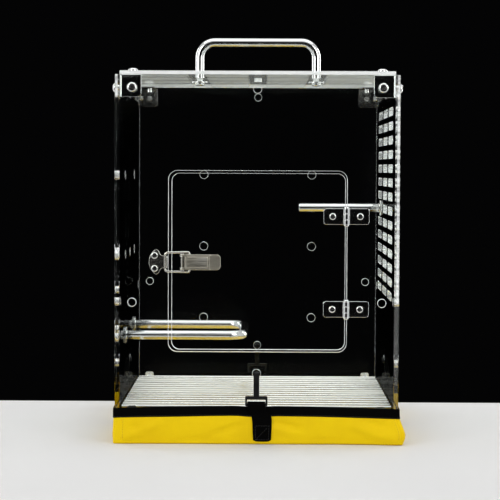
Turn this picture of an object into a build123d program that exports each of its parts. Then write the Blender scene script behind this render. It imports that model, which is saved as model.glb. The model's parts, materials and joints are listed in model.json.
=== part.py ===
from build123d import *
import os

# Acrylic bird cage, in millimetres.
# +Z is up, the door is on the -Y side, and the origin is the middle of the underside.

# Walls
WIDTH = 300.0             # outside, left to right
DEPTH = 300.0             # outside, front to back
WALL = 5.0                # acrylic sheet
WALL_TOP = 390.0          # upper edges of the four walls
TOP = 4.0                 # thickness of the top sheet
EDGE_BEVEL = 0.4          # broken edges of the sheet
SIDE_X = WIDTH / 2
FRONT_Y = -DEPTH / 2
INNER = SIDE_X - WALL     # inside face of every wall, from the middle

# Holes
HOLE_R = 4.2              # centre and mid-side holes
HOLE_TOP_Z = 375.0
HOLE_LOW_Z = 75.0
HOLE_MID_Z = 150.0
HOLE_MID_X = 132.0
BACK_HOLE_RISE = 3.2      # how much higher the back wall's upper and side holes are
GRID_R = 4.8              # accessory holes in the back and the left wall
GRID_X = 66.0
GRID_LOW_Z = 109.0
GRID_MID_Z = 196.5
GRID_HIGH_Z = 284.0

# Vent slots in the right wall
VENT_LENGTH = 60.0
VENT_HEIGHT = 8.5
VENT_COLUMN = 80.0        # between the columns
VENT_PITCH = 15.45        # between the rows
VENT_ROWS = 14
VENT_TOP_Z = 354.0

# Door
DOORWAY_X = (-93.3, 94.7)
DOORWAY_Z = (98.2, 289.2)
DOORWAY_R = 9.5
DOOR_X = (-90.1, 93.2)
DOOR_Z = (100.2, 286.7)
DOOR_R = 8.5

# Hinges
HINGE_X = 94.0            # pin axis
HINGE_Y = FRONT_Y - 3.9
HINGE_Z = {"upper": 241.6, "lower": 143.7}
LEAF_REACH = 24.0         # from the pin axis to the leaf's far edge
LEAF_HEIGHT = 17.0
LEAF_GAUGE = 1.2
LEAF_CORNER = 3.0
LEAF_SCREW = 14.5         # from the pin axis to the screw
KNUCKLE_R = 3.5
KNUCKLE_MID = 6.0         # height of the middle knuckle
KNUCKLE_GAP = 0.3
PIN_R = 1.5
PIN_HEAD_R = 2.6
PIN_HEAD = 1.8

# Latch
LATCH_Z = 193.0
LATCH_PIN_X = -78.6
LATCH_PIN_Y = FRONT_Y - 3.6
LATCH_PIN_R = 1.2
LATCH_GAUGE = 1.0
BASE_X = (-81.0, -46.0)
BASE_HALF = 6.8           # half the width over the ears
BASE_SCREW_X = (-66.0, -54.0)
LEVER_X = (-76.0, -38.2)
LEVER_STEP_X = -50.6      # where the finger tip steps down
LEVER_HALF = 8.15
LEVER_TOP_Y = FRONT_Y - 7.3
LEVER_TIP_Y = FRONT_Y - 6.0
EMBOSS = 0.5
BAIL_R = 1.1
BAIL_PIVOT_X = -71.2
BAIL_PIVOT_Y = FRONT_Y - 4.4
BAIL_END_X = -96.8
BAIL_END_Y = FRONT_Y - 2.9
BAIL_HALF = 10.4
KEEPER_GAUGE = 1.4
KEEPER_LIP_X = -95.4
KEEPER_LIP = 5.4          # height of the lip above the wall
KEEPER_SCREW_X = -107.8
KEEPER_SCREW_Z = 6.8      # above and below the latch's centre line

# Corner brackets
BRACKET_GAUGE = 2.0
BRACKET_HEIGHT = 23.5
BRACKET_REACH = 122.5     # where the legs end, from the middle
BRACKET_CORNER = 4.0
BRACKET_SCREW = 132.0
BRACKET_SCREW_Z = 376.5
BRACKET_SCREW_LENGTH = 10.5

# Handle and perches
ROD_R = 5.0
HANDLE_TOP = 439.0
HANDLE_BEND = 17.0
PERCH_BEND = 18.0
PERCH_LOOP_X = -10.0      # outside of the loop's cross bar
PERCH_LOOP_Z = 107.6
PERCH_ROD_X = 48.6        # free end of the single perch
PERCH_ROD_Y = GRID_X
PERCH_ROD_Z = VENT_TOP_Z - 7 * VENT_PITCH

# Fasteners
M6_R = 3.0
M6_HOLE_R = 3.3
M6_HEAD_R = 5.25
M6_HEAD = 3.3
M6_SOCKET_R = 2.3
M4_R = 2.0
M4_HOLE_R = 2.2
M4_HEAD_R = 3.6
M4_HEAD = 2.4
NUT_R = 4.04
NUT = 3.2
TAIL = 0.8                # thread that stands out of a nut
WASHER_R = 9.0
WASHER = 1.6
SEAT = 0.04               # play between a screw and the hole it sits in
ROD_THREAD = 9.0          # thread inside a rod's end

# Floor grille
GRILLE_ROD_R = 2.0
GRILLE_ROWS = 15
GRILLE_PITCH = 18.5
GRILLE_HALF_X = 144.0
GRILLE_HALF_Y = 138.0
GRILLE_TOP = 39.0
GRILLE_RUNNER_X = 132.0
GRILLE_WELD = 0.25        # how far the rods sink into each other
LEDGE_WIDTH = 10.0
LEDGE_DEPTH = 11.0
LEDGE_GAUGE = 1.5
LEDGE_BOTTOM = 29.5
LEDGE_TOP = 42.0
FRONT_LEDGE_TOP = 39.8     # the front pair stays behind the tray's edge
LEDGE_SCREW_Z = 35.5
LEDGE_SCREW_DEPTH = 3.5   # thread inside the wall

# Fabric tray
CLOTH = 1.8               # coated fabric
CLOTH_GAP = 0.4           # between the walls and the fabric
CLOTH_TOP = 39.0
CLOTH_CORNER = 3.0
BINDING = 0.8             # folded tape
BINDING_BOTTOM = 30.0

# Hooks and straps
BAR_Y = FRONT_Y - 4.2     # bar that the strap goes round
BAR_Z = 42.6
HOOK_GAUGE = 3.0
HOOK_HALF = 11.8
HOOK_BASE_Z = (41.0, 51.6)
HOOK_SLOT_Z = (44.2, 48.4)
HOOK_SLOT_HALF = 9.8
SHANK_HALF = 3.0
PEG_R = 2.75
PEG_Z = 73.9
PEG_END_Y = FRONT_Y + 6.8
PEG_LIP = 0.55            # catch on the end of the peg
PEG_LIP_WIDTH = 1.2
STRAP = 1.2
STRAP_HALF = 9.3
STRAP_EYE_R = 2.5         # inside of the strap's loop
STRAP_BOTTOM = 2.5

SIDES = {"front": 0, "right": 90, "back": 180, "left": 270}
CORNERS = {"front_left": 0, "front_right": 90, "back_right": 180, "back_left": 270}


def block(x, y, z):
    """A box between two ends on each axis."""
    middle = [(ends[0] + ends[1]) / 2 for ends in (x, y, z)]
    size = [abs(ends[1] - ends[0]) for ends in (x, y, z)]
    return Pos(*middle) * Box(*size)


def bar(radius, start, end):
    """A round bar between two points."""
    line = Vector(*end) - Vector(*start)
    plane = Plane(origin=start, z_dir=line.normalized())
    return extrude(plane * Circle(radius), amount=line.length)


def bent_rod(radius, points, bend):
    """A round rod along straight runs joined by arcs of the given radii."""
    path = FilletPolyline(*points, radius=bend)
    return sweep((path ^ 0) * Circle(radius), path=path)


def turned(part, angle):
    """The same piece on another side of the cage."""
    return Rot(0, 0, angle) * part


def button_screw(seat, inward, length):
    """An M6 button-head screw with a hexagon socket; seat is under the head."""
    plane = Plane(origin=seat, z_dir=inward)
    head = extrude(plane * Circle(M6_HEAD_R), amount=-M6_HEAD)
    rim = head.edges().sort_by(Axis(seat, tuple(-v for v in inward)))[-1]
    head = fillet(rim, radius=M6_HEAD * 0.72)
    crown = Plane(origin=Vector(*seat) - Vector(*inward) * M6_HEAD, z_dir=inward)
    socket = extrude(crown * RegularPolygon(M6_SOCKET_R, 6), amount=M6_HEAD * 0.55)
    return head - socket + extrude(plane * Circle(M6_R), amount=length)


def pan_screw(seat, inward, length):
    """An M4 pan-head screw with a cross recess; seat is under the head."""
    plane = Plane(origin=seat, z_dir=inward)
    head = extrude(plane * Circle(M4_HEAD_R), amount=-M4_HEAD)
    rim = head.edges().sort_by(Axis(seat, tuple(-v for v in inward)))[-1]
    head = fillet(rim, radius=M4_HEAD * 0.6)
    crown = Plane(origin=Vector(*seat) - Vector(*inward) * M4_HEAD, z_dir=inward)
    wing = M4_HEAD_R * 1.1
    for size in ((wing, M4_R * 0.4), (M4_R * 0.4, wing)):
        head -= extrude(crown * Rectangle(*size), amount=M4_HEAD * 0.5)
    return head + extrude(plane * Circle(M4_R), amount=length)


def nut(seat, outward):
    """An M4 hexagon nut; seat is the face that it bears on."""
    plane = Plane(origin=seat, z_dir=outward)
    return extrude(plane * (RegularPolygon(NUT_R, 6) - Circle(M4_R + SEAT)), amount=NUT)


def washer(seat, outward):
    """A wide M6 washer; seat is the face that it lies on."""
    plane = Plane(origin=seat, z_dir=outward)
    return extrude(plane * (Circle(WASHER_R) - Circle(M6_HOLE_R)), amount=WASHER)


def group(parts):
    """Separate solids of one kind, kept together in one node."""
    return Compound(children=list(parts))


def front_hole(x, z, radius):
    """A round cutter through the front wall and what lies on it."""
    return bar(radius, (x, FRONT_Y - 3, z), (x, FRONT_Y + WALL + 1, z))


def rounded_slab(x, z, radius, y):
    """An upright plate with rounded corners, between two Y levels."""
    plane = Plane(origin=((x[0] + x[1]) / 2, y[0], (z[0] + z[1]) / 2), x_dir=(1, 0, 0), z_dir=(0, 1, 0))
    face = plane * RectangleRounded(x[1] - x[0], z[1] - z[0], radius)
    return extrude(face, amount=y[1] - y[0])


def broken_edges(sheet):
    """Takes the sharpness off all edges of a plain sheet."""
    return chamfer(sheet.edges(), EDGE_BEVEL)


def common_holes(rise=0.0):
    """The round holes that all four walls have, as front cutters; rise lifts all but the hook's."""
    cutters = [front_hole(0, z, HOLE_R) for z in (HOLE_TOP_Z + rise, HOLE_LOW_Z)]
    for side in (-1, 1):
        cutters.append(front_hole(side * HOLE_MID_X, HOLE_MID_Z + rise, HOLE_R))
        cutters.append(front_hole(side * BRACKET_SCREW, BRACKET_SCREW_Z, M6_HOLE_R))
    return cutters


def ledge_screw_holes():
    """Blind holes for the ledges' screws, as front cutters from the inside."""
    depth = LEDGE_SCREW_DEPTH + 0.1
    ends = [((x, -INNER - depth, LEDGE_SCREW_Z), (x, -INNER + 1, LEDGE_SCREW_Z))
            for x in (-GRILLE_RUNNER_X, GRILLE_RUNNER_X)]
    return [bar(M4_R + SEAT, *pair) for pair in ends]


def front_panel():
    wall = broken_edges(block((-INNER, INNER), (FRONT_Y, -INNER), (CLOTH, WALL_TOP)))
    wall -= ledge_screw_holes()
    wall -= rounded_slab(DOORWAY_X, DOORWAY_Z, DOORWAY_R, (FRONT_Y - 1, -INNER + 1))
    wall -= common_holes()
    for z in HINGE_Z.values():
        wall -= front_hole(HINGE_X + LEAF_SCREW, z, M4_HOLE_R)
    for side in (-1, 1):
        wall -= front_hole(KEEPER_SCREW_X, LATCH_Z + side * KEEPER_SCREW_Z, M4_HOLE_R)
    return wall


def back_panel():
    wall = broken_edges(block((-INNER, INNER), (FRONT_Y, -INNER), (CLOTH, WALL_TOP)))
    wall -= common_holes(BACK_HOLE_RISE)
    wall -= ledge_screw_holes()
    for x in (-GRID_X, GRID_X):
        for z in (GRID_LOW_Z, GRID_MID_Z, GRID_HIGH_Z):
            wall -= front_hole(x, z, GRID_R)
    return turned(wall, SIDES["back"])


def side_blank():
    """A side wall at the front's place, with the holes both sides have."""
    half = DEPTH / 2
    wall = broken_edges(block((-half, half), (FRONT_Y, -INNER), (CLOTH, WALL_TOP)))
    return wall - common_holes()


def left_panel():
    wall = side_blank()
    for x in (-GRID_X, GRID_X):
        for z in (PERCH_LOOP_Z, GRID_MID_Z, GRID_HIGH_Z):
            wall -= front_hole(x, z, GRID_R)
    wall -= front_hole(0, GRID_MID_Z, GRID_R)
    return turned(wall, SIDES["left"])


def right_panel():
    wall = side_blank()
    plane = Plane(origin=(0, FRONT_Y - 1, 0), x_dir=(1, 0, 0), z_dir=(0, 1, 0))
    slots = Sketch()
    for row in range(VENT_ROWS):
        for column in (-1, 0, 1):
            place = Pos(column * VENT_COLUMN, -(VENT_TOP_Z - row * VENT_PITCH))
            slots += place * SlotOverall(VENT_LENGTH, VENT_HEIGHT)
    wall -= extrude(plane * slots, amount=WALL + 2)
    return turned(wall, SIDES["right"])


def top_panel():
    sheet = broken_edges(block((-INNER, INNER), (-DEPTH / 2, DEPTH / 2), (WALL_TOP, WALL_TOP + TOP)))
    spots = [(0, 0, HOLE_R), (-GRID_X, 0, M6_HOLE_R), (GRID_X, 0, M6_HOLE_R)]
    for x in (-BRACKET_SCREW, BRACKET_SCREW):
        for y in (-BRACKET_SCREW, BRACKET_SCREW):
            spots.append((x, y, M6_HOLE_R))
    for x, y, radius in spots:
        sheet -= bar(radius, (x, y, WALL_TOP - 1), (x, y, WALL_TOP + TOP + 1))
    return sheet


def door_panel():
    door = rounded_slab(DOOR_X, DOOR_Z, DOOR_R, (FRONT_Y, -INNER))
    faces = door.faces().filter_by(Axis.Y)
    door = chamfer(faces.edges(), EDGE_BEVEL)
    for z in HINGE_Z.values():
        door -= front_hole(HINGE_X - LEAF_SCREW, z, M4_HOLE_R)
    for x in BASE_SCREW_X:
        door -= front_hole(x, LATCH_Z, M4_HOLE_R)
    return door


def corner_bracket():
    """A three-way bracket inside the front left corner."""
    low = WALL_TOP - BRACKET_HEIGHT
    near = (-INNER, -BRACKET_REACH)
    inner = (-INNER, -INNER + BRACKET_GAUGE)
    front_leg = block(near, inner, (low, WALL_TOP))
    side_leg = block(inner, near, (low, WALL_TOP))
    front_leg = fillet(corner_edge(front_leg, Axis.Y, Axis.X), BRACKET_CORNER)
    side_leg = fillet(corner_edge(side_leg, Axis.X, Axis.Y), BRACKET_CORNER)
    top_leg = block(near, near, (WALL_TOP - BRACKET_GAUGE, WALL_TOP))
    top_leg = fillet(top_leg.edges().filter_by(Axis.Z).sort_by(Axis((0, 0, 0), (1, 1, 0)))[-1], BRACKET_CORNER)
    bracket = front_leg + side_leg + top_leg
    spine = bracket.edges().filter_by(Axis.Z).sort_by(Axis((0, 0, 0), (1, 1, 0)))[0]
    bracket = fillet(spine, BRACKET_GAUGE)
    for seat, inward, length in bracket_screw_places():
        end = Vector(*seat) + Vector(*inward) * (length + 1)
        bracket -= bar(M6_R + SEAT, seat, tuple(end))
    return bracket


def corner_edge(leg, through, along):
    """The lower edge of a leg at its free end, which gets rounded."""
    return leg.edges().filter_by(through).sort_by(along)[-2:].sort_by(Axis.Z)[0]


def bracket_screw_places():
    """Seat, inward direction and length of the front left bracket's screws."""
    return [
        ((-BRACKET_SCREW, FRONT_Y, BRACKET_SCREW_Z), (0, 1, 0), BRACKET_SCREW_LENGTH),
        ((-SIDE_X, -BRACKET_SCREW, BRACKET_SCREW_Z), (1, 0, 0), BRACKET_SCREW_LENGTH),
        ((-BRACKET_SCREW, -BRACKET_SCREW, WALL_TOP + TOP), (0, 0, -1), BRACKET_SCREW_LENGTH),
    ]


def bracket_screws():
    screws = [button_screw(*place) for place in bracket_screw_places()]
    return group(turned(screw, angle) for angle in CORNERS.values() for screw in screws)


def leaf(side, z, knuckles, bore):
    """A hinge leaf; side is -1 on the door and 1 on the wall."""
    far = HINGE_X + side * LEAF_REACH
    ends = (min(far, HINGE_X), max(far, HINGE_X))
    height = (z - LEAF_HEIGHT / 2, z + LEAF_HEIGHT / 2)
    plate = block(ends, (FRONT_Y - LEAF_GAUGE, FRONT_Y), height)
    corners = plate.edges().filter_by(Axis.Y).sort_by(Axis.X)
    corners = corners[:2] if side < 0 else corners[-2:]
    plate = fillet(corners, LEAF_CORNER)
    plate -= block((HINGE_X - 0.4, HINGE_X + 0.4), (FRONT_Y - 2, FRONT_Y + 1), height)
    screw_x = HINGE_X + side * LEAF_SCREW
    plate -= front_hole(screw_x, z, M4_R + SEAT)
    mid = KNUCKLE_MID / 2
    spans = {"middle": [(-mid, mid)],
             "outer": [(-LEAF_HEIGHT / 2, -mid - KNUCKLE_GAP), (mid + KNUCKLE_GAP, LEAF_HEIGHT / 2)]}
    other = "outer" if knuckles == "middle" else "middle"
    for low, high in spans[other]:
        start = (HINGE_X, HINGE_Y, z + low - KNUCKLE_GAP)
        end = (HINGE_X, HINGE_Y, z + high + KNUCKLE_GAP)
        plate -= bar(KNUCKLE_R + KNUCKLE_GAP, start, end)
    for low, high in spans[knuckles]:
        start = (HINGE_X, HINGE_Y, z + low)
        end = (HINGE_X, HINGE_Y, z + high)
        plate += bar(KNUCKLE_R, start, end)
    return plate - bar(bore, (HINGE_X, HINGE_Y, z - LEAF_HEIGHT), (HINGE_X, HINGE_Y, z + LEAF_HEIGHT))


def hinge_pin(z):
    reach = LEAF_HEIGHT / 2 + 0.2
    pin = bar(PIN_R, (HINGE_X, HINGE_Y, z - reach), (HINGE_X, HINGE_Y, z + reach))
    for way in (-1, 1):
        start = (HINGE_X, HINGE_Y, z + way * reach)
        end = (HINGE_X, HINGE_Y, z + way * (reach + PIN_HEAD))
        head = bar(PIN_HEAD_R, start, end)
        rim = head.edges().sort_by(Axis.Z)[-1 if way > 0 else 0]
        pin += fillet(rim, PIN_HEAD * 0.6)
    return pin


def hinge_screws(side):
    x = HINGE_X + side * LEAF_SCREW
    length = LEAF_GAUGE + WALL + NUT + TAIL
    return group(pan_screw((x, FRONT_Y - LEAF_GAUGE, z), (0, 1, 0), length) for z in HINGE_Z.values())


def hinge_nuts(side):
    x = HINGE_X + side * LEAF_SCREW
    return group(nut((x, -INNER, z), (0, 1, 0)) for z in HINGE_Z.values())


def latch_keeper():
    """Bell-shaped plate with an upright lip that holds the bail's end."""
    neck = 6.4
    flank = (-101.0, 7.2)
    lobe = (-106.6, 13.3)
    outline = [
        ThreePointArc((lobe[0], lobe[1]), (-113.8, 0), (lobe[0], -lobe[1])),
        Spline((lobe[0], -lobe[1]), (flank[0], -flank[1]), (KEEPER_LIP_X, -neck),
               tangents=((1, 0.1), (1, 0.1))),
        Line((KEEPER_LIP_X, -neck), (KEEPER_LIP_X, neck)),
        Spline((KEEPER_LIP_X, neck), (flank[0], flank[1]), (lobe[0], lobe[1]),
               tangents=((-1, 0.1), (-1, 0.1))),
    ]
    plane = Plane(origin=(0, FRONT_Y, LATCH_Z), x_dir=(1, 0, 0), z_dir=(0, -1, 0))
    plate = extrude(plane * make_face(outline), amount=KEEPER_GAUGE)
    lip = block((KEEPER_LIP_X, KEEPER_LIP_X + KEEPER_GAUGE), (FRONT_Y - KEEPER_LIP, FRONT_Y),
                (LATCH_Z - neck, LATCH_Z + neck))
    crest = lip.edges().filter_by(Axis.X).sort_by(Axis.Y)[:2]
    lip = fillet(crest, 1.6)
    foot = lip.edges().filter_by(Axis.Z).sort_by(Axis.X)[-2:].sort_by(Axis.Y)[-1]
    lip = fillet(foot, KEEPER_GAUGE * 0.8)
    keeper = plate + lip
    for side in (-1, 1):
        keeper -= front_hole(KEEPER_SCREW_X, LATCH_Z + side * KEEPER_SCREW_Z, M4_R + SEAT)
    return keeper


def keeper_screws():
    length = KEEPER_GAUGE + WALL + NUT + TAIL
    heights = [LATCH_Z + side * KEEPER_SCREW_Z for side in (-1, 1)]
    return group(pan_screw((KEEPER_SCREW_X, FRONT_Y - KEEPER_GAUGE, z), (0, 1, 0), length) for z in heights)


def keeper_nuts():
    return group(nut((KEEPER_SCREW_X, -INNER, LATCH_Z + side * KEEPER_SCREW_Z), (0, 1, 0)) for side in (-1, 1))


def latch_base():
    """Plate on the door with two ears that carry the lever's pin."""
    half = BASE_HALF
    low, high = LATCH_Z - half, LATCH_Z + half
    plate = block((LATCH_PIN_X + 2, BASE_X[1]), (FRONT_Y - LATCH_GAUGE, FRONT_Y), (low, high))
    plate = fillet(plate.edges().filter_by(Axis.Y).sort_by(Axis.X)[-2:], 2.0)
    boss_r = LATCH_PIN_R + 1.2
    for z in (low, high - LATCH_GAUGE):
        ear = block((LATCH_PIN_X - boss_r, LATCH_PIN_X + 6), (LATCH_PIN_Y, FRONT_Y), (z, z + LATCH_GAUGE))
        ear -= block((LATCH_PIN_X + boss_r, LATCH_PIN_X + 7), (LATCH_PIN_Y - 1, FRONT_Y - 2.4), (z - 1, z + 2))
        ear += bar(boss_r, (LATCH_PIN_X, LATCH_PIN_Y, z), (LATCH_PIN_X, LATCH_PIN_Y, z + LATCH_GAUGE))
        plate += ear
    plate -= bar(LATCH_PIN_R + 0.02, (LATCH_PIN_X, LATCH_PIN_Y, low - 1), (LATCH_PIN_X, LATCH_PIN_Y, high + 1))
    for x in BASE_SCREW_X:
        plate -= front_hole(x, LATCH_Z, M4_R + SEAT)
    return plate


def latch_base_screws():
    length = LATCH_GAUGE + WALL + NUT + TAIL
    return group(pan_screw((x, FRONT_Y - LATCH_GAUGE, LATCH_Z), (0, 1, 0), length) for x in BASE_SCREW_X)


def latch_base_nuts():
    return group(nut((x, -INNER, LATCH_Z), (0, 1, 0)) for x in BASE_SCREW_X)


def latch_pin():
    reach = LEVER_HALF + 0.2
    pin = bar(LATCH_PIN_R, (LATCH_PIN_X, LATCH_PIN_Y, LATCH_Z - reach), (LATCH_PIN_X, LATCH_PIN_Y, LATCH_Z + reach))
    for way in (-1, 1):
        start = (LATCH_PIN_X, LATCH_PIN_Y, LATCH_Z + way * reach)
        end = (LATCH_PIN_X, LATCH_PIN_Y, LATCH_Z + way * (reach + 0.6))
        pin += bar(LATCH_PIN_R + 0.6, start, end)
    return pin


def latch_lever():
    """Pressed channel whose two flanges turn on the pin."""
    skin = 0.9
    flange_line = [
        (LATCH_PIN_X - 2.4, LATCH_PIN_Y + 0.2), (LATCH_PIN_X - 1.4, LATCH_PIN_Y - 2.2),
        (LEVER_X[0] + 0.3, LEVER_TOP_Y), (LEVER_STEP_X, LEVER_TOP_Y),
        (LEVER_STEP_X + 3, LEVER_TIP_Y), (LEVER_STEP_X + 3, LEVER_TIP_Y + 1.6),
        (BAIL_PIVOT_X + 4, BAIL_PIVOT_Y + 2.4), (LATCH_PIN_X, LATCH_PIN_Y + 2.4),
    ]
    side_face = make_face(Polyline(*flange_line, close=True))
    inner = LEVER_HALF - LATCH_GAUGE
    lever = None
    for z in (LATCH_Z - LEVER_HALF, LATCH_Z + inner):
        flange = extrude(Pos(0, 0, z) * side_face, amount=LATCH_GAUGE)
        flange = fillet(flange.edges().filter_by(Axis.Z).sort_by(Axis.X)[:1], 1.2)
        lever = flange if lever is None else lever + flange
    width = (LATCH_Z - LEVER_HALF, LATCH_Z + LEVER_HALF)
    body = rounded_slab((LEVER_X[0], LEVER_STEP_X + 1), width, 1.0, (LEVER_TOP_Y, LEVER_TOP_Y + skin))
    tip = block((LEVER_STEP_X - 1, LEVER_X[1]), (LEVER_TIP_Y, LEVER_TIP_Y + skin), width)
    tip = fillet(tip.edges().filter_by(Axis.Y).sort_by(Axis.X)[-2:], 4.0)
    step = block((LEVER_STEP_X - 0.9, LEVER_STEP_X + 1), (LEVER_TOP_Y, LEVER_TIP_Y + skin), width)
    pad_x = (LEVER_X[0] + 1.2, LEVER_STEP_X - 1.0)
    pad_z = (LATCH_Z - LEVER_HALF + 2.6, LATCH_Z + LEVER_HALF - 2.6)
    pad = rounded_slab(pad_x, pad_z, 1.2, (LEVER_TOP_Y - EMBOSS, LEVER_TOP_Y))
    lever += [body, tip, step, pad]
    for x, y, radius in ((LATCH_PIN_X, LATCH_PIN_Y, LATCH_PIN_R + 0.06), (BAIL_PIVOT_X, BAIL_PIVOT_Y, BAIL_R + 0.08)):
        lever -= bar(radius, (x, y, LATCH_Z - 20), (x, y, LATCH_Z + 20))
    return lever


def latch_bail():
    """Wire loop from the lever to the keeper."""
    hook_half = BAIL_HALF - 0.4
    inner = LEVER_HALF - LATCH_GAUGE - 0.6
    points = [
        (BAIL_PIVOT_X, BAIL_PIVOT_Y, LATCH_Z + inner),
        (BAIL_PIVOT_X, BAIL_PIVOT_Y, LATCH_Z + BAIL_HALF),
        (BAIL_END_X, BAIL_END_Y, LATCH_Z + hook_half),
        (BAIL_END_X, BAIL_END_Y, LATCH_Z - hook_half),
        (BAIL_PIVOT_X, BAIL_PIVOT_Y, LATCH_Z - BAIL_HALF),
        (BAIL_PIVOT_X, BAIL_PIVOT_Y, LATCH_Z - inner),
    ]
    return bent_rod(BAIL_R, points, [1.6, 3.4, 3.4, 1.6])


def thread_hole(start, inward):
    """A cutter for the thread inside a rod's end."""
    end = Vector(*start) + Vector(*inward) * (ROD_THREAD + 2)
    return bar(M6_R + SEAT, start, tuple(end))


def carry_handle():
    middle = HANDLE_TOP - ROD_R
    foot = WALL_TOP + TOP
    points = [(-GRID_X, 0, foot), (-GRID_X, 0, middle), (GRID_X, 0, middle), (GRID_X, 0, foot)]
    handle = bent_rod(ROD_R, points, [HANDLE_BEND, HANDLE_BEND])
    for x in (-GRID_X, GRID_X):
        handle -= thread_hole((x, 0, foot), (0, 0, 1))
    return handle


def handle_washers():
    return group(washer((x, 0, WALL_TOP), (0, 0, -1)) for x in (-GRID_X, GRID_X))


def handle_screws():
    seat = WALL_TOP - WASHER
    length = WASHER + TOP + ROD_THREAD
    return group(button_screw((x, 0, seat), (0, 0, 1), length) for x in (-GRID_X, GRID_X))


def perch_loop():
    start = -INNER + WASHER
    far = PERCH_LOOP_X - ROD_R
    points = [(start, -GRID_X, PERCH_LOOP_Z), (far, -GRID_X, PERCH_LOOP_Z),
              (far, GRID_X, PERCH_LOOP_Z), (start, GRID_X, PERCH_LOOP_Z)]
    loop = bent_rod(ROD_R, points, [PERCH_BEND, PERCH_BEND])
    for y in (-GRID_X, GRID_X):
        loop -= thread_hole((start, y, PERCH_LOOP_Z), (1, 0, 0))
    return loop


def perch_rod():
    start = INNER - WASHER
    rod = bar(ROD_R, (PERCH_ROD_X, PERCH_ROD_Y, PERCH_ROD_Z), (start, PERCH_ROD_Y, PERCH_ROD_Z))
    rod = chamfer(rod.edges().sort_by(Axis.X)[0], 0.8)
    return rod - thread_hole((start, PERCH_ROD_Y, PERCH_ROD_Z), (-1, 0, 0))


def perch_mounts():
    """Where each perch end meets its wall: the wall's side, Y and Z."""
    return {"perch_loop": [(-1, -GRID_X, PERCH_LOOP_Z), (-1, GRID_X, PERCH_LOOP_Z)],
            "perch_rod": [(1, PERCH_ROD_Y, PERCH_ROD_Z)]}


def perch_inner_washers(places):
    return group(washer((side * INNER, y, z), (-side, 0, 0)) for side, y, z in places)


def perch_outer_washers(places):
    return group(washer((side * SIDE_X, y, z), (side, 0, 0)) for side, y, z in places)


def perch_screws(places):
    length = WASHER + WALL + WASHER + ROD_THREAD
    seat = SIDE_X + WASHER
    return group(button_screw((side * seat, y, z), (-side, 0, 0), length) for side, y, z in places)


def floor_grille():
    """Cross rods welded on three runners that lie on the ledges."""
    row_z = GRILLE_TOP - GRILLE_ROD_R
    runner_z = row_z - 2 * GRILLE_ROD_R + GRILLE_WELD
    span = GRILLE_PITCH * (GRILLE_ROWS - 1)
    rods = []
    for row in range(GRILLE_ROWS):
        y = -span / 2 + row * GRILLE_PITCH
        rods.append(bar(GRILLE_ROD_R, (-GRILLE_HALF_X, y, row_z), (GRILLE_HALF_X, y, row_z)))
    for x in (-GRILLE_RUNNER_X, 0, GRILLE_RUNNER_X):
        rods.append(bar(GRILLE_ROD_R, (x, -GRILLE_HALF_Y, runner_z), (x, GRILLE_HALF_Y, runner_z)))
    return rods[0] + rods[1:]


def grille_ledge(x, top):
    """An angle on the front wall's inside that the grille's runner lies on."""
    width = (x - LEDGE_WIDTH / 2, x + LEDGE_WIDTH / 2)
    upright = block(width, (-INNER, -INNER + LEDGE_GAUGE), (LEDGE_BOTTOM, top))
    upright = fillet(upright.edges().filter_by(Axis.Y).sort_by(Axis.Z)[-2:], 2.5)
    shelf = block(width, (-INNER, -INNER + LEDGE_DEPTH), (LEDGE_BOTTOM, LEDGE_BOTTOM + LEDGE_GAUGE))
    shelf = fillet(shelf.edges().filter_by(Axis.Z).sort_by(Axis.Y)[-2:], 2.0)
    ledge = upright + shelf
    return ledge - bar(M4_R + SEAT, (x, -INNER - 1, LEDGE_SCREW_Z), (x, -INNER + 4, LEDGE_SCREW_Z))


def tray_ring(reach, corner, z):
    """A solid square block with rounded upright edges."""
    plane = Plane(origin=(0, 0, z[0]))
    return extrude(plane * RectangleRounded(2 * reach, 2 * reach, corner), amount=z[1] - z[0])


def tray_fabric():
    inside = SIDE_X + CLOTH_GAP
    outside = inside + CLOTH
    bag = tray_ring(outside, CLOTH_CORNER, (0, CLOTH_TOP))
    bag = fillet(bag.faces().sort_by(Axis.Z)[0].edges(), 1.5)
    return bag - tray_ring(inside, CLOTH_CORNER - CLOTH, (CLOTH, CLOTH_TOP + 1))


def tray_binding():
    inside = SIDE_X + CLOTH_GAP
    cloth = inside + CLOTH
    tape = tray_ring(cloth + BINDING, CLOTH_CORNER + BINDING, (BINDING_BOTTOM, CLOTH_TOP + BINDING))
    tape -= tray_ring(cloth, CLOTH_CORNER, (BINDING_BOTTOM - 1, CLOTH_TOP))
    return tape - tray_ring(inside, CLOTH_CORNER - CLOTH, (CLOTH_TOP - 1, CLOTH_TOP + 2))


def strap():
    """The front strap: up the tray's outside and round the hook's bar."""
    low_y = FRONT_Y - CLOTH_GAP - CLOTH - BINDING - 0.1
    eye = STRAP_EYE_R + STRAP
    plane = Plane(origin=(-STRAP_HALF, 0, 0), x_dir=(0, 1, 0), z_dir=(1, 0, 0))
    outer = BAR_Y - eye
    inner = BAR_Y - STRAP_EYE_R
    run = Polyline((low_y, STRAP_BOTTOM), (low_y, BINDING_BOTTOM + 2), (inner, BAR_Z), (outer, BAR_Z),
                   (low_y - STRAP, BINDING_BOTTOM), (low_y - STRAP, STRAP_BOTTOM), close=True)
    section = make_face(run)
    eye_ring = Pos(BAR_Y, BAR_Z) * (Circle(eye) - Circle(STRAP_EYE_R))
    below = Pos(BAR_Y + eye / 2, BAR_Z - eye) * Rectangle(3 * eye, 2 * eye)
    section += eye_ring - below
    return extrude(plane * section, amount=2 * STRAP_HALF)


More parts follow.
